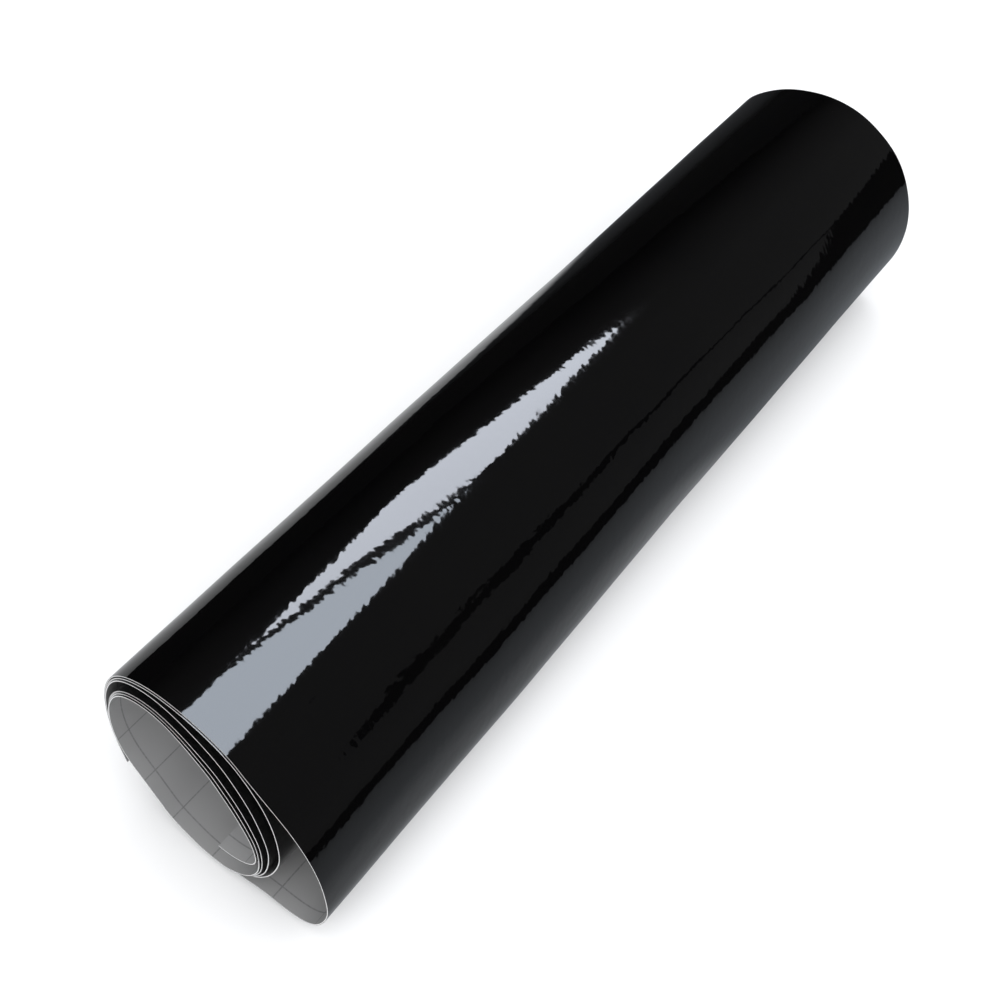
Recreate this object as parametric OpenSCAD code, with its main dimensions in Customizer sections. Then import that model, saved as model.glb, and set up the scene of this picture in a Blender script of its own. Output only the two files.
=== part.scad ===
// A short coreless roll of self-adhesive sign vinyl, lying on its side.
// The sheet is one laminate of three layers: a glossy face film on the outside of the roll,
// the pressure-sensitive adhesive under it, and the release liner on the inside.
// It is wound as a spiral seen along Y. Angles are in degrees about the roll's axis: 0 points
// to +X, 90 up, and the sheet is followed from its outer free end, winding inwards with the
// angle falling by 360 each turn.

/* [Sheet] */
// Width of the sheet, which is the length of the roll
media_w = 305; // [100:5:610]
// Thickness of the glossy face film
film_t = 0.10; // [0.06:0.01:0.15]
// Thickness of the adhesive
adhesive_t = 0.03; // [0.02:0.01:0.05]
// Thickness of the release liner
liner_t = 0.17; // [0.10:0.01:0.20]

/* [Roll] */
// Mean outer radius of the coil, without the slack outer loop
coil_radius = 27.5; // [25:0.5:32]
// Air left between turns that lie on each other
turn_air = 0.05; // [0.04:0.01:0.08]
// Gap between the second and third turns where the coil is slackest
slack_gap = 4.4; // [2:0.1:4.5]
// How much of each gap the next gap inwards keeps
slack_keep = 0.45; // [0.2:0.05:0.5]
// Extra gap between the third and fourth turns where they are furthest apart
inner_gap = 3.2; // [0:0.1:3.6]
// How far the slack outer turn stands off the coil at its widest
loop_rise = 15.8; // [8:0.2:18]
// Sideways step of each turn out of the near end of the roll
telescope = 0.4; // [0:0.1:0.8]
// Height of the roll's axis above the surface it lies on
axis_height = 26.4; // [26.2:0.1:26.6]

/* [Free ends] */
// Angle of the outer free end
tab_angle = 214; // [210:1:218]
// Arc of each of the five inner stretches of the outer free end
tail_arc = 21; // [19:1:22]
// Arc of the last stretch of the outer free end
tab_arc = 33; // [30:1:36]
// Arc of face film that peels off the liner at the outer free end
lip_arc = 24; // [18:1:26]
// How far the outer free end stands off the turn below it
tab_lift = 1.8; // [0.5:0.1:3]
// Clearance under the stretches that open
tail_air = 0.15; // [0.1:0.05:0.3]
// Arc of the inner free end that has sprung away from the coil
flap_arc = 42; // [30:1:48]
// How far the inner free end stands inwards of the coil at its edge
flap_rise = 9.5; // [5:0.5:11]

/* [Hidden] */

film_colour = "#0c0c0e";
adhesive_colour = "#d8d8cf";
liner_colour = "#86868a";

// The shape of the coil, as its radius over coil_radius every 15 degrees from 0.
coil_shape = [
  0.98, 0.96, 0.96, 0.975, 1.00, 1.05, 1.10, 1.17, 1.25, 1.275, 1.17, 1.05,
  0.97, 0.92, 0.87, 0.845, 0.88, 0.955, 0.99, 1.01, 1.03, 1.025, 1.01, 0.99
];
// Where the coil is slack, as a share of slack_gap every 30 degrees from 0.
slack_shape = [0.7, 1.05, 1.1, 0.8, 0.1, 0, 0, 0, 0, 0, 0, 0.2];
// Where the turns inside the third one have drawn further in, as a share of inner_gap.
inner_shape = [0.2, 0.28, 0.45, 0.8, 1, 0.45, 0.1, 0, 0, 0, 0, 0.05];
// How the outer turn stands off the coil, as a share of loop_rise every 15 degrees from
// loop_start. It falls back to the coil at both ends.
loop_shape = [0, 0.01, 0.035, 0.13, 0.34, 0.94, 0.97, 0.74, 0.53, 0.3, 0.1, 0.01, 0, 0];
loop_start = -105;

sample_arc = 5;
// The share of a turn, from the outer free end, where each turn steps up onto the one below.
// It is at the top of the roll, where no turn is pressed flat.
step_up = 0.3;
turn_pitch = film_t + adhesive_t + liner_t + turn_air;
adhesive_top = film_t;
liner_top = film_t + adhesive_t;
sheet_t = film_t + adhesive_t + liner_t;
lip_air = 0.01;
joint_gap = 0.12;

tail_end = tab_angle - tab_arc;
tail_root = tail_end - 5 * tail_arc;
lip_root = tab_angle - lip_arc;
coil_start = tab_angle - 360;
flap_edge = tab_angle - 360 * 5.74;
flap_root = flap_edge + flap_arc;
slack_start = tab_angle - 360 * 1.4;
inner_start = tab_angle - 360 * 2.7;
inner_start_arc = 120;
tab_lift_arc = 30;
full_turns = 5;
telescope_total = telescope * full_turns;

function wrap(value, period) = value - period * floor(value / period);

// Smooth closed curve through values that are spaced evenly round the circle.
function ring(values, angle) =
  let (
    n = len(values),
    u = wrap(angle, 360) * n / 360,
    i = floor(u),
    f = u - i,
    a = values[wrap(i - 1, n)],
    b = values[wrap(i, n)],
    c = values[wrap(i + 1, n)],
    d = values[wrap(i + 2, n)]
  )
  b + 0.5 * f * (c - a + f * (2 * a - 5 * b + 4 * c - d + f * (3 * (b - c) + d - a)));

// Smooth open curve through values 15 degrees apart.
function arch(values, angle) =
  let (
    u = (angle - loop_start) / 15,
    last = len(values) - 1,
    i = floor(u),
    f = u - i
  )
  u <= 1 || u >= last - 1 ? 0 :
  let (a = values[i - 1], b = values[i], c = values[i + 1], d = values[i + 2])
  b + 0.5 * f * (c - a + f * (2 * a - 5 * b + 4 * c - d + f * (3 * (b - c) + d - a)));

function ease(x) = let (u = min(max(x, 0), 1)) u * u * (3 - 2 * u);
function turns_in(angle) = (tab_angle - angle) / 360;

// Slack adds up inwards, and each turn keeps less of it than the one before.
function slack(angle) =
  angle >= slack_start ? 0 :
  (1 - pow(slack_keep, (slack_start - angle) / 360)) / (1 - slack_keep);

function draw_in(angle) =
  inner_gap * max(0, ring(inner_shape, angle)) * ease((inner_start - angle) / inner_start_arc);

function loop_lift(angle) = angle < coil_start ? 0 : loop_rise * arch(loop_shape, angle);

function tab_rise(angle) =
  angle < tab_angle - tab_lift_arc ? 0 :
  tab_lift * pow((angle - tab_angle + tab_lift_arc) / tab_lift_arc, 2);

function tail_lift(angle) = tail_air * ease((angle - tail_root + 15) / 15) + tab_rise(angle);
function flap_lift(angle) = flap_rise * ease((flap_root - angle) / (1.3 * flap_arc)) / ease(1 / 1.3);

function radius(angle) =
  coil_radius * ring(coil_shape, angle) - (turns_in(angle) - 1) * turn_pitch
  - slack(angle) * slack_gap * max(0, ring(slack_shape, angle)) - draw_in(angle)
  + loop_lift(angle) + tail_lift(angle) - flap_lift(angle);

// The outline of the outer turn gives the middle of the roll's width.
outline = [for (a = [coil_start : 1 : tab_angle]) radius(a) * cos(a)];
x_middle = (min(outline) + max(outline)) / 2;

// The lowest that a turn can be: the outer turn lies on the surface, and the others on it.
function floor_height(angle) = turn_pitch * floor(turns_in(angle) - step_up);

// A point of the film's outer face, pressed flat where the roll lies on the surface.
function face_point(angle) =
  [
    radius(angle) * cos(angle) - x_middle,
    max(floor_height(angle), axis_height + radius(angle) * sin(angle))
  ];

// The same point, moved into the sheet by a depth.
function sheet_point(angle, depth) =
  let (
    ahead = face_point(angle - 0.5),
    behind = face_point(angle + 0.5),
    run = ahead - behind,
    inwards = [run[1], -run[0]] / norm(run)
  )
  face_point(angle) + depth * inwards;

// Every turn has its points at the same angles, so that turns which touch have the same chords.
function samples(from, to) =
  let (
    first = ceil(from / sample_arc) - 1,
    last = floor(to / sample_arc) + 1
  )
  [from, for (i = [first : -1 : last]) i * sample_arc, to];

// One stretch of one layer, from a higher angle to a lower one, between two depths.
module stretch(from, to, top, bottom, step) {
  angles = samples(from, to);
  count = len(angles);
  outer = [for (a = angles) sheet_point(a, top)];
  inner = [for (i = [count - 1 : -1 : 0]) sheet_point(angles[i], bottom)];
  translate([0, media_w / 2 + telescope_total / 2 - step * telescope, 0])
    rotate([90, 0, 0])
      linear_extrude(height = media_w)
        polygon(concat(outer, inner));
}

// The coil is one strip. Each whole turn steps a little further out of the near end.
module coil(top, bottom) {
  for (turn = [1 : full_turns])
    stretch(
      tab_angle - 360 * turn,
      max(flap_root, tab_angle - 360 * (turn + 1)),
      top, bottom, turn
    );
}

module outer_turn(top, bottom) {
  stretch(tail_root, coil_start, top, bottom, 0);
}

// Stretches 1 to 5 run down from the top of the roll to the tab.
module tail(index, top, bottom) {
  hinge = tail_root + (index - 1) * tail_arc;
  stretch(hinge + tail_arc, hinge + joint_gap, top, bottom, 0);
}

module tab(from, top, bottom) {
  stretch(from, tail_end + joint_gap, top, bottom, 0);
}

module lip(top, bottom) {
  stretch(tab_angle, lip_root + joint_gap, top, bottom, 0);
}

module inner_end(top, bottom) {
  stretch(flap_root - joint_gap, flap_edge, top, bottom, full_turns);
}

module film_coil() { color(film_colour) coil(0, adhesive_top); }
module film_outer_turn() { color(film_colour) outer_turn(0, adhesive_top); }
module film_tail(index) { color(film_colour) tail(index, 0, adhesive_top); }
module film_tab() { color(film_colour) tab(lip_root, 0, adhesive_top); }
module film_lip() { color(film_colour) lip(0, adhesive_top); }
module film_inner_end() { color(film_colour) inner_end(0, adhesive_top); }

module adhesive_coil() { color(adhesive_colour) coil(adhesive_top, liner_top); }
module adhesive_outer_turn() { color(adhesive_colour) outer_turn(adhesive_top, liner_top); }
module adhesive_tail(index) { color(adhesive_colour) tail(index, adhesive_top, liner_top); }
module adhesive_tab() { color(adhesive_colour) tab(lip_root, adhesive_top, liner_top); }
module adhesive_lip() { color(adhesive_colour) lip(adhesive_top, liner_top - lip_air); }
module adhesive_inner_end() { color(adhesive_colour) inner_end(adhesive_top, liner_top); }

module liner_coil() { color(liner_colour) coil(liner_top, sheet_t); }
module liner_outer_turn() { color(liner_colour) outer_turn(liner_top, sheet_t); }
module liner_tail(index) { color(liner_colour) tail(index, liner_top, sheet_t); }
module liner_tab() { color(liner_colour) tab(tab_angle, liner_top, sheet_t); }
module liner_inner_end() { color(liner_colour) inner_end(liner_top, sheet_t); }

film_coil();
film_outer_turn();
film_tail(1);  // film_tail_1
film_tail(2);  // film_tail_2
film_tail(3);  // film_tail_3
film_tail(4);  // film_tail_4
film_tail(5);  // film_tail_5
film_tab();  // film_tail_6
film_lip();
film_inner_end();
adhesive_coil();
adhesive_outer_turn();
adhesive_tail(1);  // adhesive_tail_1
adhesive_tail(2);  // adhesive_tail_2
adhesive_tail(3);  // adhesive_tail_3
adhesive_tail(4);  // adhesive_tail_4
adhesive_tail(5);  // adhesive_tail_5
adhesive_tab();  // adhesive_tail_6
adhesive_lip();
adhesive_inner_end();
liner_coil();
liner_outer_turn();
liner_tail(1);  // liner_tail_1
liner_tail(2);  // liner_tail_2
liner_tail(3);  // liner_tail_3
liner_tail(4);  // liner_tail_4
liner_tail(5);  // liner_tail_5
liner_tab();  // liner_tail_6
liner_inner_end();
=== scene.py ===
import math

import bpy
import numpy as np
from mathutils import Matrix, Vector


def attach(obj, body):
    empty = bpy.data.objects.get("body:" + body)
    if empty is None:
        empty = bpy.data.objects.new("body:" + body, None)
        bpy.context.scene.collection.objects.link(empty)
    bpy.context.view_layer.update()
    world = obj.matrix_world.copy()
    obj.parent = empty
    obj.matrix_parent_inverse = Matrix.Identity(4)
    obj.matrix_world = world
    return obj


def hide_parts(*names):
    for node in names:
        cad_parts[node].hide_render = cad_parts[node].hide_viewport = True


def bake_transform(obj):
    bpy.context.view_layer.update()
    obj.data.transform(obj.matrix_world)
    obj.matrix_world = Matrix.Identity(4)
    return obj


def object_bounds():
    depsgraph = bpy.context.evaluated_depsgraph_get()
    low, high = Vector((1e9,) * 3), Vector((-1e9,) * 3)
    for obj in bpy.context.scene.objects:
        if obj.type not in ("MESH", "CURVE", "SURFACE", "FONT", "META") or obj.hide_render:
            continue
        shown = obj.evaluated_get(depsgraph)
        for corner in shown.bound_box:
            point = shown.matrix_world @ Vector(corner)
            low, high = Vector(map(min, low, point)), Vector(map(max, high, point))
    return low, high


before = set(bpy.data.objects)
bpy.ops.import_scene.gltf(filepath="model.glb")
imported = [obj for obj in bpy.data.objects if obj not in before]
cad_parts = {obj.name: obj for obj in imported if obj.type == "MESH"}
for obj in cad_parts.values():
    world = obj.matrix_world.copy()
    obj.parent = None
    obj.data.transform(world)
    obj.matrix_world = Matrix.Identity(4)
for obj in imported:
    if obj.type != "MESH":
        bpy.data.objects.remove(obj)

# A short roll of glossy black sign vinyl on a grey release liner, lying on its side.
# The laminate is rebuilt as three continuous thin layers. They start from the spiral of the CAD
# section, which is the same all along, and change from it by up to 5 mm inwards at the near end
# and 11 mm outwards at the far end. Angles are in degrees about the roll's axis: 0 points to +X,
# 90 up, and the sheet is followed from its outer free end inwards, with the angle falling by 360
# each turn.

CAD_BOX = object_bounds()

MM = 0.001

# ---------------------------------------------------------------- the sheet and its spiral
MEDIA_W = 305.0
FILM_T = 0.10
ADHESIVE_T = 0.03
LINER_T = 0.17
SHEET_T = FILM_T + ADHESIVE_T + LINER_T
TURN_AIR = 0.05
TURN_PITCH = SHEET_T + TURN_AIR

COIL_RADIUS = 27.5
SLACK_GAP = 4.4
SLACK_KEEP = 0.45
INNER_GAP = 3.2
LOOP_RISE = 15.8
AXIS_HEIGHT = 26.4
TELESCOPE = 0.4
FULL_TURNS = 5
TURNS = 5.74
STEP_UP = 0.3

TAB_ANGLE = 214.0
TAIL_ARC = 21.0
TAB_ARC = 33.0
TAB_LIFT = 1.8
TAB_LIFT_ARC = 30.0
TAIL_AIR = 0.15
FLAP_ARC = 42.0
FLAP_RISE = 9.5
FLAP_SPREAD = 1.3

TAIL_END = TAB_ANGLE - TAB_ARC
TAIL_ROOT = TAIL_END - 5 * TAIL_ARC
TAIL_LIFT_ARC = 15.0
COIL_START = TAB_ANGLE - 360
FLAP_EDGE = TAB_ANGLE - 360 * TURNS
FLAP_ROOT = FLAP_EDGE + FLAP_ARC
SLACK_START = TAB_ANGLE - 360 * 1.4
INNER_START = TAB_ANGLE - 360 * 2.7
INNER_START_ARC = 120.0

# The coil's outline over COIL_RADIUS every 15 degrees, its slack and its inner gap every 30.
COIL_SHAPE = (
    0.98, 0.96, 0.96, 0.975, 1.00, 1.05, 1.10, 1.17, 1.25, 1.275, 1.17, 1.05,
    0.97, 0.92, 0.87, 0.845, 0.88, 0.955, 0.99, 1.01, 1.03, 1.025, 1.01, 0.99,
)
SLACK_SHAPE = (0.7, 1.05, 1.1, 0.8, 0.1, 0, 0, 0, 0, 0, 0, 0.2)
INNER_SHAPE = (0.2, 0.28, 0.45, 0.8, 1, 0.45, 0.1, 0, 0, 0, 0, 0.05)
# How the outer turn stands off the coil, every 15 degrees from LOOP_START.
LOOP_SHAPE = (0, 0.01, 0.035, 0.13, 0.34, 0.94, 0.97, 0.74, 0.53, 0.3, 0.1, 0.01, 0, 0)
LOOP_START = -105.0
# The next four change the section towards its ends. They are given, and are not worked out from how
# vinyl bends: the near edge comes out about 2 per cent shorter than the far one.
# How much further out the outer turn stands at the far end, where it is fuller, in mm.
FAR_LOOP = (0, 0, 0, 0, 0, 0, 0.5, 3.9, 7.0, 9.5, 11.2, 10.2, 7.4, 4.4, 1.6, 0.2, 0, 0)
# How much the whole coil's radius changes there, in mm every 15 degrees from 0.
FAR_COIL = (0, 0, 0, 0, 0, 0, 0, -0.6, -2.2, -3.2, -0.6, 0, 0, 0, 0, 0, 0, 0, 0, 0, 0, 0, 0, 0)
# How much the coil's radius changes at the near end, in mm every 15 degrees from 0.
NEAR_COIL = (
    0, 0, 0, 0, 0, 0, 0, 0, 0, 0, 0, -0.1,
    -0.5, -1.4, -2.2, -2.8, -3.7, -4.6, -4.3, -2.6, -0.8, 0, 0, 0,
)
# How much further in each turn lies than the one before it there.
NEAR_SPREAD = (
    0, 0, 0, 0, 0, 0, 0, 0, 0, 0, -0.02, -0.1,
    -0.25, -0.34, -0.36, -0.30, -0.22, -0.12, -0.03, 0, 0, 0, 0, 0,
)

ARC_STEP = 2.0
ALONG_STEPS = 60


def spline(a, b, c, d, f):
    return b + 0.5 * f * (c - a + f * (2 * a - 5 * b + 4 * c - d + f * (3 * (b - c) + d - a)))


def ring(values, angle):
    """A smooth closed curve through values spaced evenly round the circle."""
    values = np.asarray(values, float)
    n = len(values)
    u = np.mod(angle, 360.0) * n / 360.0
    i = np.floor(u).astype(int)
    a, b, c, d = (values[(i + k) % n] for k in (-1, 0, 1, 2))
    return spline(a, b, c, d, u - i)


def arch(values, angle):
    """A smooth open curve through values 15 degrees apart from LOOP_START, and 0 outside."""
    values = np.asarray(values, float)
    u = (angle - LOOP_START) / 15.0
    last = len(values) - 1
    i = np.clip(np.floor(u).astype(int), 1, last - 2)
    a, b, c, d = (values[i + k] for k in (-1, 0, 1, 2))
    return np.where((u <= 1) | (u >= last - 1), 0.0, spline(a, b, c, d, u - i))


def ease(x):
    u = np.clip(x, 0.0, 1.0)
    return u * u * (3 - 2 * u)


def evened(curve, values, angle):
    """The curve averaged over a few degrees, so that its bending changes smoothly in the gloss."""
    over = np.mod(angle, 360.0)
    step = 1.5 + 2.5 * ease((over + 5) / 15) * ease((180 - over) / 20)
    taps = zip((-2, -1, 0, 1, 2), (1, 4, 6, 4, 1))
    return sum(share * curve(values, angle + tap * step) for tap, share in taps) / 16


def turns_in(angle):
    return (TAB_ANGLE - angle) / 360.0


def slack(angle):
    inside = np.maximum(SLACK_START - angle, 0.0) / 360.0
    return (1 - SLACK_KEEP**inside) / (1 - SLACK_KEEP)


def draw_in(angle):
    """How far the turns inside the third one have drawn further in."""
    share = np.maximum(evened(ring, INNER_SHAPE, angle), 0.0)
    return INNER_GAP * share * ease((INNER_START - angle) / INNER_START_ARC)


def outer_turn_only(angle):
    """1 on the outer turn and 0 inside it, where its shape has already come back to the coil's."""
    return (angle >= COIL_START).astype(float)


def floor_height(angle):
    """The lowest a turn can be: the outer turn lies on the surface, and the others on it."""
    return TURN_PITCH * np.floor(turns_in(angle) - STEP_UP)


def tail_lift(angle):
    from_tab = np.maximum(angle - TAB_ANGLE + TAB_LIFT_ARC, 0.0) / TAB_LIFT_ARC
    return TAIL_AIR * ease((angle - TAIL_ROOT + TAIL_LIFT_ARC) / TAIL_LIFT_ARC) + TAB_LIFT * from_tab**2


def flap_lift(angle):
    return FLAP_RISE * ease((FLAP_ROOT - angle) / (FLAP_SPREAD * FLAP_ARC)) / ease(1 / FLAP_SPREAD)


def section_radius(angle):
    """The CAD section's radius in mm, with its outline evened."""
    return (
        COIL_RADIUS * evened(ring, COIL_SHAPE, angle)
        - (turns_in(angle) - 1) * TURN_PITCH
        - slack(angle) * SLACK_GAP * np.maximum(evened(ring, SLACK_SHAPE, angle), 0.0)
        - draw_in(angle)
        + LOOP_RISE * evened(arch, LOOP_SHAPE, angle) * outer_turn_only(angle)
        + tail_lift(angle)
        - flap_lift(angle)
    )


def middle():
    """The middle of the outer turn's width, which the CAD puts at x = 0."""
    angle = np.arange(COIL_START, TAB_ANGLE + 0.5, 1.0)
    x = section_radius(angle) * np.cos(np.radians(angle))
    return (x.min() + x.max()) / 2


X_MIDDLE = middle()


def shape_change(angle, along):
    """How the section changes from the near end (along = 0) to the far end (1), in mm."""
    far = 0.5 * (ease(along) + along)
    near = ease(1 - 1.5 * along)
    fuller = evened(arch, FAR_LOOP, angle) * outer_turn_only(angle) + evened(ring, FAR_COIL, angle)
    drawn_in = np.where(angle < 60, 1.0, 0.25) * evened(ring, NEAR_COIL, angle)
    spread = np.maximum(turns_in(angle) - 1, 0.0) * evened(ring, NEAR_SPREAD, angle)
    return far * fuller + near * (drawn_in + spread)


def ripple(angle, along):
    """The slow unevenness of a hand-rolled sheet, in mm. It nearly dies out on the flat."""
    a = np.radians(angle)
    y = along * 2 * math.pi
    over = np.mod(angle, 360.0)
    free = 1 - 0.9 * np.exp(-(((over - 270) / 40) ** 2)) - 0.5 * np.exp(-(((over - 90) / 60) ** 2))
    loose = 0.3 + 0.7 * ease((angle - COIL_START) / 80)
    slow = 0.16 * np.sin(1.3 * y + 2.0 * a + 0.4) + 0.10 * np.sin(2.7 * y - 3.0 * a + 1.9)
    quick = 0.035 * np.sin(5.3 * y + 1.0 * a) + 0.02 * np.sin(9.1 * y + 5.0 * a + 0.7)
    return free * loose * (slow + quick)


def sheet_place(angle, along):
    """The film's outer face at an angle and a share of the roll's length, in mm."""
    r = section_radius(angle) + shape_change(angle, along) + ripple(angle, along)
    a = np.radians(angle)
    x = r * np.cos(a) - X_MIDDLE
    z = np.maximum(AXIS_HEIGHT + r * np.sin(a), floor_height(angle))
    step = TELESCOPE * np.maximum(turns_in(angle) - 0.5, 0.0)
    y = MEDIA_W * (along - 0.5) + TELESCOPE * FULL_TURNS / 2 - step
    return np.stack([x, y, z], axis=-1)


# ---------------------------------------------------------------- where the sheet is divided
# The outer free end has hinge angles at 76, 97, 118, 139, 160 and 181 degrees, and its lip one at 190.
# Each piece of it holds one hinge angle, and meets the next piece at these angles.
TAIL_PIECES = 6
TAIL_STOPS = (65.5, 86.5, 107.5, 128.5, 148.0, 165.5, 185.5)
# The angles round each hinge, from the lower one to the higher one.
TAIL_BENDS = ((66, 86), (87, 107), (108, 128), (129, 147.5), (148.5, 165), (167, 185))
LIP_BEND = (186, 203)
FLAP_STOP = FLAP_ROOT + 14
FLAP_BEND = (FLAP_ROOT + 13, FLAP_ROOT - 20)
BREAKS = (TAB_ANGLE, *reversed(TAIL_STOPS), FLAP_STOP, FLAP_EDGE)


def sampled(breaks):
    """Angles about ARC_STEP apart that hit every break."""
    angles = [breaks[0]]
    for high, low in zip(breaks, breaks[1:]):
        n = max(2, math.ceil((high - low) / ARC_STEP))
        angles += [high + (low - high) * k / n for k in range(1, n + 1)]
    return np.array(angles)


def unit(v):
    return v / np.linalg.norm(v, axis=-1, keepdims=True)


def sheet_grid(angles, shares):
    """Points of the outer face, its outward normals, and the flat (length, width) of each point."""
    angle, along = np.meshgrid(angles, shares, indexing="ij")
    points = sheet_place(angle, along)
    run = sheet_place(angle - 0.4, along) - sheet_place(angle + 0.4, along)
    across = sheet_place(angle, along + 0.002) - sheet_place(angle, along - 0.002)
    normals = unit(np.cross(run, across))
    steps = np.linalg.norm(np.diff(points, axis=0), axis=-1).mean(axis=1)
    length = np.concatenate([[0], np.cumsum(steps)])
    flat = np.stack(np.broadcast_arrays(length[:, None], MEDIA_W * shares[None, :]), axis=-1)
    return points, normals, flat


ANGLES = sampled(BREAKS)
POINTS, NORMALS, FLAT = sheet_grid(ANGLES, np.linspace(0, 1, ALONG_STEPS + 1))


def row_at(angle):
    return int(np.argmin(abs(ANGLES - angle)))


def solid_strip(name, high, low, top, bottom, materials):
    """A closed mesh of one layer, from a higher angle to a lower one, between two depths."""
    rows = slice(row_at(high), row_at(low) + 1)
    points, normals, flat = POINTS[rows], NORMALS[rows], FLAT[rows]
    count, width = points.shape[:2]
    total = count * width
    outer = points - normals * top
    inner = points - normals * bottom
    vertices = np.concatenate([outer.reshape(-1, 3), inner.reshape(-1, 3)]) * MM
    at = np.arange(total).reshape(count, width)

    def quads(a, b, c, d):
        return np.stack([a, b, c, d], axis=-1).reshape(-1, 4)

    skin = quads(at[:-1, :-1], at[1:, :-1], at[1:, 1:], at[:-1, 1:])
    near, far = at[:, 0], at[:, -1]
    first, last = at[0], at[-1]
    rims = [
        quads(near[:-1], near[:-1] + total, near[1:] + total, near[1:]),
        quads(far[1:], far[1:] + total, far[:-1] + total, far[:-1]),
        quads(first[:-1], first[1:], first[1:] + total, first[:-1] + total),
        quads(last[1:], last[:-1], last[:-1] + total, last[1:] + total),
    ]
    faces = np.concatenate([skin, skin[:, ::-1] + total, *rims])

    mesh = bpy.data.meshes.new(name)
    mesh.from_pydata(vertices.tolist(), [], faces.tolist())
    for material in materials:
        mesh.materials.append(material)
    is_rim = np.arange(len(faces)) >= 2 * len(skin)
    mesh.polygons.foreach_set("material_index", is_rim.astype(np.int32) * (len(materials) - 1))
    mesh.polygons.foreach_set("use_smooth", np.ones(len(faces), bool))

    loops = faces.reshape(-1)
    uv = mesh.uv_layers.new(name="flat")
    flat_uv = np.concatenate([flat.reshape(-1, 2)] * 2)[loops] * MM
    uv.data.foreach_set("uv", flat_uv.astype(np.float32).reshape(-1))
    outward = normals.reshape(-1, 3)
    loop_normals = np.concatenate([outward, -outward])[loops]
    corners = vertices[faces[is_rim]]
    rim_normals = unit(np.cross(corners[:, 2] - corners[:, 0], corners[:, 3] - corners[:, 1]))
    loop_normals[4 * 2 * len(skin):] = np.repeat(rim_normals, 4, axis=0)
    mesh.normals_split_custom_set(loop_normals.tolist())

    piece = bpy.data.objects.new(name, mesh)
    bpy.context.scene.collection.objects.link(piece)
    length = float(flat[-1, 0, 0] - flat[0, 0, 0]) * MM
    return piece, length


def place_at(angle):
    """A point of the outer face at mid-length, in metres."""
    return Vector(sheet_place(np.array(angle), np.array(0.5)) * MM)


# ---------------------------------------------------------------- materials
class Nodes:
    """A small helper that adds shader nodes and links them."""

    def __init__(self, name):
        self.material = bpy.data.materials.new(name)
        self.material.use_nodes = True
        self.tree = self.material.node_tree
        self.shader = self.tree.nodes["Principled BSDF"]

    def add(self, kind, settings=None, **sockets):
        node = self.tree.nodes.new(kind)
        for key, value in (settings or {}).items():
            setattr(node, key, value)
        for key, value in sockets.items():
            self.put(node.inputs[key.replace("_", " ")], value)
        return node

    def put(self, socket, value):
        if isinstance(value, bpy.types.NodeSocket):
            self.tree.links.new(value, socket)
        else:
            socket.default_value = value

    def set(self, **sockets):
        for key, value in sockets.items():
            self.put(self.shader.inputs[key.replace("_", " ")], value)

    def maths(self, operation, *values):
        node = self.tree.nodes.new("ShaderNodeMath")
        node.operation = operation
        for socket, value in zip(node.inputs, values):
            self.put(socket, value)
        return node.outputs[0]

    def remap(self, value, low, high, to_low, to_high, smooth=False):
        node = self.tree.nodes.new("ShaderNodeMapRange")
        node.interpolation_type = "SMOOTHSTEP" if smooth else "LINEAR"
        for socket, number in zip(node.inputs, (value, low, high, to_low, to_high)):
            self.put(socket, number)
        return node.outputs[0]

    def mix(self, share, a, b):
        node = self.tree.nodes.new("ShaderNodeMix")
        node.data_type = "RGBA"
        self.put(node.inputs[0], share)
        self.put(node.inputs[6], a)
        self.put(node.inputs[7], b)
        return node.outputs[2]

    def flat(self):
        return self.add("ShaderNodeUVMap", {"uv_map": "flat"}).outputs[0]

    def noise(self, vector, scale, detail=2.0, roughness=0.5, stretch=None):
        if stretch is not None:
            node = self.add("ShaderNodeVectorMath", {"operation": "MULTIPLY"})
            self.put(node.inputs[0], vector)
            node.inputs[1].default_value = stretch
            vector = node.outputs[0]
        noise = self.add("ShaderNodeTexNoise", None, Scale=scale, Detail=detail, Roughness=roughness)
        self.put(noise.inputs["Vector"], vector)
        return noise.outputs[0]

    def bump(self, height, distance, strength=1.0, normal=None):
        node = self.add("ShaderNodeBump", None, Strength=strength, Distance=distance, Height=height)
        if normal is not None:
            self.put(node.inputs["Normal"], normal)
        return node.outputs[0]


def grey(value):
    return (value, value, value, 1)


def film_material():
    n = Nodes("gloss_black_vinyl")
    flat = n.flat()
    peel = n.noise(flat, 380.0, 1.0, 0.4)
    wave = n.noise(flat, 70.0, 2.0, 0.5, (1.0, 0.35, 1.0))
    dust = n.noise(flat, 2600.0, 1.0, 0.5)
    haze = n.noise(flat, 24.0, 3.0, 0.6)
    scuff = n.noise(flat, 500.0, 3.0, 0.7, (1.0, 0.03, 1.0))
    specks = n.remap(dust, 0.80, 0.84, 0.0, 1.0, True)
    scratches = n.remap(scuff, 0.70, 0.76, 0.0, 0.5, True)
    marks = n.maths("MAXIMUM", specks, scratches)
    colour = n.mix(haze, (0.0006, 0.0006, 0.0008, 1), (0.0012, 0.0011, 0.0011, 1))
    colour = n.mix(n.maths("MULTIPLY", marks, 0.35), colour, (0.012, 0.012, 0.013, 1))
    rough = n.maths("ADD", n.remap(haze, 0.3, 0.7, 0.035, 0.06), n.maths("MULTIPLY", marks, 0.12))
    relief = n.bump(wave, 0.00015, 1.0)
    relief = n.bump(peel, 0.000034, 1.0, relief)
    n.set(Base_Color=colour, Roughness=rough, Normal=relief)
    n.set(**{"IOR": 1.49, "Specular IOR Level": 0.5})
    return n.material


def film_edge_material():
    n = Nodes("cut_vinyl_edge")
    noise = n.noise(n.flat(), 3000.0, 2.0)
    n.set(Base_Color=n.mix(noise, grey(0.14), grey(0.28)), Roughness=0.45)
    return n.material


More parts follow.
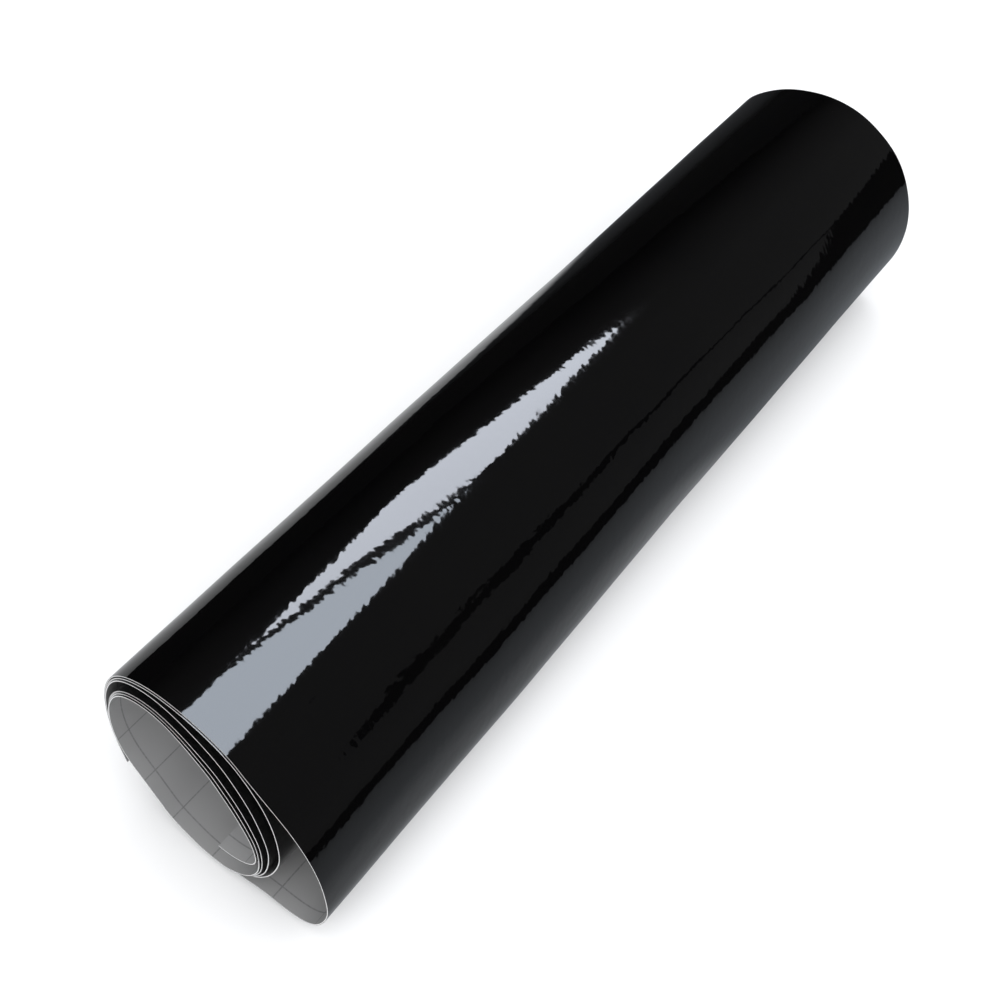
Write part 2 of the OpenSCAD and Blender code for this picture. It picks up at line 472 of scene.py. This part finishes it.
def adhesive_material():
    n = Nodes("tacky_acrylic_adhesive")
    flat = n.flat()
    lay = n.noise(flat, 260.0, 3.0, 0.6)
    n.set(
        Base_Color=n.mix(lay, (0.33, 0.33, 0.32, 1), (0.40, 0.40, 0.38, 1)),
        Roughness=n.remap(lay, 0.3, 0.7, 0.24, 0.34),
        Normal=n.bump(lay, 0.00001),
    )
    return n.material


GRID_PITCH = 0.01441
GRID_FROM_NEAR_EDGE = 0.0037
GRID_FROM_FREE_END = 0.0131
GRID_LINE = 0.00018


def grid_line(n, distance, first):
    """1 on a printed line, from the distance along the sheet at right angles to it."""
    shifted = n.maths("ADD", n.maths("SUBTRACT", distance, first), GRID_PITCH / 2)
    place = n.maths("SUBTRACT", n.maths("FLOORED_MODULO", shifted, GRID_PITCH), GRID_PITCH / 2)
    return n.remap(n.maths("ABSOLUTE", place), GRID_LINE * 0.7, GRID_LINE * 1.3, 1.0, 0.0, True)


def liner_material():
    n = Nodes("silicone_coated_liner")
    flat = n.flat()
    parts = n.add("ShaderNodeSeparateXYZ")
    n.put(parts.inputs[0], flat)
    lines = n.maths(
        "MAXIMUM",
        grid_line(n, parts.outputs[0], GRID_FROM_FREE_END),
        grid_line(n, parts.outputs[1], GRID_FROM_NEAR_EDGE),
    )
    ink = n.remap(n.noise(flat, 1500.0, 2.0), 0.35, 0.6, 0.6, 1.0)
    cloud = n.noise(flat, 35.0, 3.0, 0.55)
    grain = n.noise(flat, 1400.0, 3.0, 0.6)
    paper = n.mix(cloud, (0.270, 0.270, 0.274, 1), (0.310, 0.310, 0.307, 1))
    n.set(
        Base_Color=n.mix(n.maths("MULTIPLY", lines, ink), paper, (0.175, 0.175, 0.18, 1)),
        Roughness=n.remap(grain, 0.3, 0.7, 0.38, 0.5),
        Normal=n.bump(grain, 0.000012, 1.0, n.bump(cloud, 0.0002)),
    )
    return n.material


def paper_edge_material():
    n = Nodes("cut_paper_edge")
    fibre = n.noise(n.flat(), 4000.0, 2.0)
    n.set(Base_Color=n.mix(fibre, grey(0.50), grey(0.72)), Roughness=0.75)
    return n.material


def floor_material():
    """A white floor. The gloss sees a painted reflection of it: greyer, and in painted shade behind the
    roll.
    """
    n = Nodes("white_sweep")
    place = n.add("ShaderNodeTexCoord").outputs["Object"]
    white = n.mix(n.noise(place, 5.0), grey(0.88), grey(0.90))
    parts = n.add("ShaderNodeSeparateXYZ")
    n.put(parts.inputs[0], place)
    across, along = parts.outputs[0], parts.outputs[1]
    # Painted shade seen only in the gloss: dark behind the roll, and grey towards the right.
    behind = n.maths("ADD", along, n.maths("MULTIPLY", across, 0.37))
    left = n.mix(n.remap(behind, 0.05, 0.09, 0.0, 1.0, True), grey(0.60), grey(0.02))
    right = (0.225, 0.24, 0.255, 1)
    painted_gloss_shade = n.mix(n.remap(across, -0.1, 0.1, 0.0, 1.0), left, right)
    in_gloss = n.add("ShaderNodeLightPath").outputs["Is Glossy Ray"]
    n.set(Base_Color=n.mix(in_gloss, white, painted_gloss_shade), Roughness=0.7)
    return n.material


# ---------------------------------------------------------------- camera and light
CAMERA_AZIMUTH = math.radians(19.09)
CAMERA_ELEVATION = math.radians(52.70)
CAMERA_ROLL = math.radians(20.54)
CAMERA_DISTANCE = 0.4115
CAMERA_LENS = 54.0
# The camera aims a little short of the middle of the roll.
AIM_OFFSET = Vector((-0.0017, -0.0350, 0.0))


def box_centre(box):
    return (Vector(box[0]) + Vector(box[1])) / 2


def look_along(direction, roll=0.0):
    turn = direction.to_track_quat("-Z", "Y").to_matrix().to_4x4()
    return turn @ Matrix.Rotation(roll, 4, "Z")


def add_camera():
    aim = box_centre(CAD_BOX) + AIM_OFFSET
    away = Vector((
        math.sin(CAMERA_AZIMUTH) * math.cos(CAMERA_ELEVATION),
        -math.cos(CAMERA_AZIMUTH) * math.cos(CAMERA_ELEVATION),
        math.sin(CAMERA_ELEVATION),
    ))
    camera = bpy.data.objects.new("camera", bpy.data.cameras.new("camera"))
    bpy.context.scene.collection.objects.link(camera)
    camera.data.lens = CAMERA_LENS
    camera.data.clip_start = 0.01
    turn = look_along(-away, CAMERA_ROLL)
    camera.matrix_world = Matrix.Translation(aim + away * CAMERA_DISTANCE) @ turn
    bpy.context.scene.camera = camera


def area_light(name, place, aim, size, watts):
    """A soft box that isn't seen in the gloss."""
    light = bpy.data.lights.new(name, "AREA")
    light.shape = "RECTANGLE"
    light.size, light.size_y = size
    light.energy = watts
    lamp = bpy.data.objects.new(name, light)
    bpy.context.scene.collection.objects.link(lamp)
    direction = (Vector(aim) - Vector(place)).normalized()
    lamp.matrix_world = Matrix.Translation(place) @ look_along(direction)
    lamp.visible_glossy = False


# Two cards above the roll make the split reflection along its top. Their corners are in metres.
CARD_HEIGHT = 0.90
LEFT_CARD = (
    (-0.22, 0.26), (-0.40, 0.48), (-0.34, 0.58), (-0.27, 0.70), (-0.15, 0.73),
    (-0.04, 0.62), (0.07, 0.53), (0.09, 0.48), (-0.02, 0.43), (-0.11, 0.35),
)
RIGHT_CARD = (
    (-0.18, 0.08), (-0.18, 0.23), (-0.09, 0.29), (0.02, 0.37), (0.13, 0.45),
    (0.17, 0.44), (0.30, 0.33), (0.36, 0.28), (0.52, 0.21), (0.52, 0.08),
)
# Two dim cards with a narrow dark gap between them tone the lower half of the film.
INNER_DIM_CARD = (
    (-1.2, -1.6), (-1.2, 1.8), (1.25, 1.8), (1.20, 0.85), (1.14, 0.45), (1.14, -1.6),
)
OUTER_DIM_CARD = (
    (1.14, -1.6), (1.14, 0.45), (1.34, 0.55), (1.44, 0.9), (1.30, 1.3), (1.30, 1.8), (5.0, 5.0),
    (9.0, -1.6),
)


def light_card(name, corners, colour, strength, height=CARD_HEIGHT, fade=None):
    """A flat card that is seen only in the gloss. It can fade in between two places along X."""
    n = Nodes(name)
    if fade is not None:
        parts = n.add("ShaderNodeSeparateXYZ")
        n.put(parts.inputs[0], n.add("ShaderNodeTexCoord").outputs["Object"])
        strength = n.remap(parts.outputs[0], *fade, 0.0, strength, True)
    n.set(Base_Color=grey(0.0), Emission_Color=(*colour, 1), Emission_Strength=strength)
    mesh = bpy.data.meshes.new(name)
    mesh.from_pydata([(x, y, height) for x, y in corners], [], [range(len(corners))])
    mesh.materials.append(n.material)
    card = bpy.data.objects.new(name, mesh)
    bpy.context.scene.collection.objects.link(card)
    card.visible_camera = False
    card.visible_diffuse = False
    card.visible_shadow = False


def add_lights():
    over = box_centre(CAD_BOX)
    light_card("card_left", LEFT_CARD, (0.90, 0.95, 1.06), 13.0)
    light_card("card_right", RIGHT_CARD, (0.88, 0.97, 1.10), 9.5)
    over_cards = CARD_HEIGHT + 0.01
    light_card("card_dim_inner", INNER_DIM_CARD, (1, 1, 1), 0.11, over_cards, (-1.1, 0.3))
    light_card("card_dim_outer", OUTER_DIM_CARD, (1, 1, 1), 0.11, over_cards)
    # Broad fills light the floor and the liner without showing in the gloss.
    area_light("fill_top", (0, 0, 2.4), over, (4.0, 4.0), 30.0)
    area_light("fill_front", (0.2, -2.0, 1.5), over, (2.4, 1.2), 24.0)


def add_world():
    """An even white studio, which the gloss sees nearly black."""
    world = bpy.data.worlds.new("studio")
    world.use_nodes = True
    tree = world.node_tree
    in_gloss = tree.nodes.new("ShaderNodeLightPath").outputs["Is Glossy Ray"]
    strength = tree.nodes.new("ShaderNodeMapRange")
    strength.inputs["To Min"].default_value = 1.05
    strength.inputs["To Max"].default_value = 0.015
    tree.links.new(in_gloss, strength.inputs["Value"])
    background = tree.nodes["Background"]
    background.inputs["Color"].default_value = (0.97, 0.98, 1.0, 1)
    tree.links.new(strength.outputs[0], background.inputs["Strength"])
    bpy.context.scene.world = world


# ---------------------------------------------------------------- the floor and the laminate
FLOOR_HALF = 6.0
FLOOR_DROP = 0.00005


def add_floor():
    mesh = bpy.data.meshes.new("floor")
    h = FLOOR_HALF
    mesh.from_pydata([(-h, -h, 0), (h, -h, 0), (h, h, 0), (-h, h, 0)], [], [(0, 1, 2, 3)])
    mesh.materials.append(floor_material())
    floor = bpy.data.objects.new("floor", mesh)
    floor.location.z = CAD_BOX[0][2] - FLOOR_DROP
    bpy.context.scene.collection.objects.link(floor)


def declare(nodes):
    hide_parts(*nodes)


def add_layer(layer, top, bottom, materials, peels):
    """One layer from the outer free end to the inner one, cut into pieces."""

    def strip(part, high, low):
        return solid_strip(f"{layer}_{part}", high, low, top, bottom, materials)

    coil, length = strip("roll", TAIL_STOPS[0], FLAP_STOP)
    declare([f"{layer}_coil", f"{layer}_outer_turn"])
    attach(coil, "roll")
    for k in range(TAIL_PIECES):
        last = k == TAIL_PIECES - 1
        high = TAB_ANGLE if last and not peels else TAIL_STOPS[k + 1]
        piece, length = strip(f"free_end_{k + 1}", high, TAIL_STOPS[k])
        declare([f"{layer}_tail_{k + 1}"])
        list(map(place_at, TAIL_BENDS[k]))
        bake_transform(piece)
    if peels:
        piece, length = strip("peel_lip", TAB_ANGLE, TAIL_STOPS[-1])
        declare([f"{layer}_lip"])
        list(map(place_at, LIP_BEND))
        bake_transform(piece)
    piece, length = strip("inner_free_end", FLAP_STOP, FLAP_EDGE)
    declare([f"{layer}_inner_end"])
    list(map(place_at, FLAP_BEND))
    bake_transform(piece)


add_camera()
add_world()
add_lights()
add_floor()
add_layer("film", 0, FILM_T, [film_material(), film_edge_material()], True)
add_layer("adhesive", FILM_T, FILM_T + ADHESIVE_T, [adhesive_material()], True)
add_layer("liner", FILM_T + ADHESIVE_T, SHEET_T, [liner_material(), paper_edge_material()], False)
bpy.context.scene.view_settings.view_transform = "Standard"
